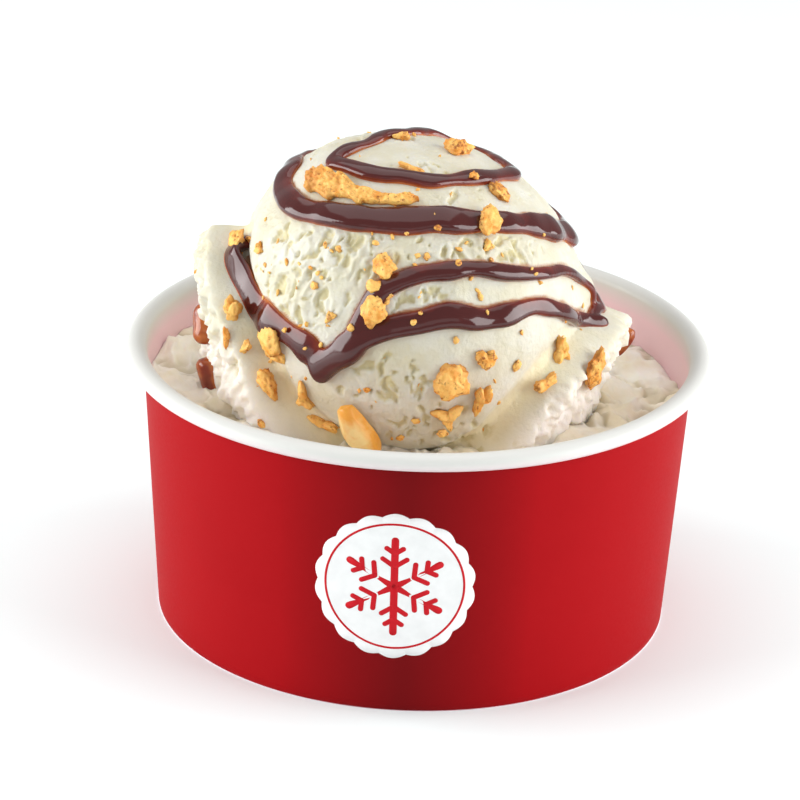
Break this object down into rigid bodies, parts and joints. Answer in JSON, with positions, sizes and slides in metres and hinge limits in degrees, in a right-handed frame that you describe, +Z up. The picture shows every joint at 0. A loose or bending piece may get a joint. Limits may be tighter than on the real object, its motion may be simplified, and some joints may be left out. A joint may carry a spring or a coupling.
{
  "type": "gelato cup",
  "caption": "Low round paper cup with a rolled rim, filled with gelato and topped by a large scoop with sauce bands and toasted nut pieces.",
  "frame": {"origin": "centre of the ring that the cup stands on", "axes": "+Z up along the cup's axis, -Y toward the front, where the badge is, +X to the right seen from the front"},
  "size_m": [0.092, 0.092, 0.0781],
  "materials": {
    "printed_paper": "satin coated board, red outside and white inside and on the rolled rim",
    "white_paper": "matt white coated board",
    "beige_gelato": "soft beige gelato with a churned top",
    "cream_gelato": "cream-coloured gelato, smooth where the scoop pressed it and torn elsewhere",
    "toasted_topping": "golden toasted flake with a rough grain",
    "toasted_nut": "golden roasted nut with a faint sheen",
    "dark_sauce": "thick glossy dark brown sauce, red-brown where it is thin"
  },
  "bodies": {
    "root": {"cup_wall": "printed_paper", "cup_base": "white_paper", "gelato_fill": "beige_gelato", "scoop": "cream_gelato", "toasted_flake": "toasted_topping", "toasted_nut": "toasted_nut"}
  },
  "joints": []
}
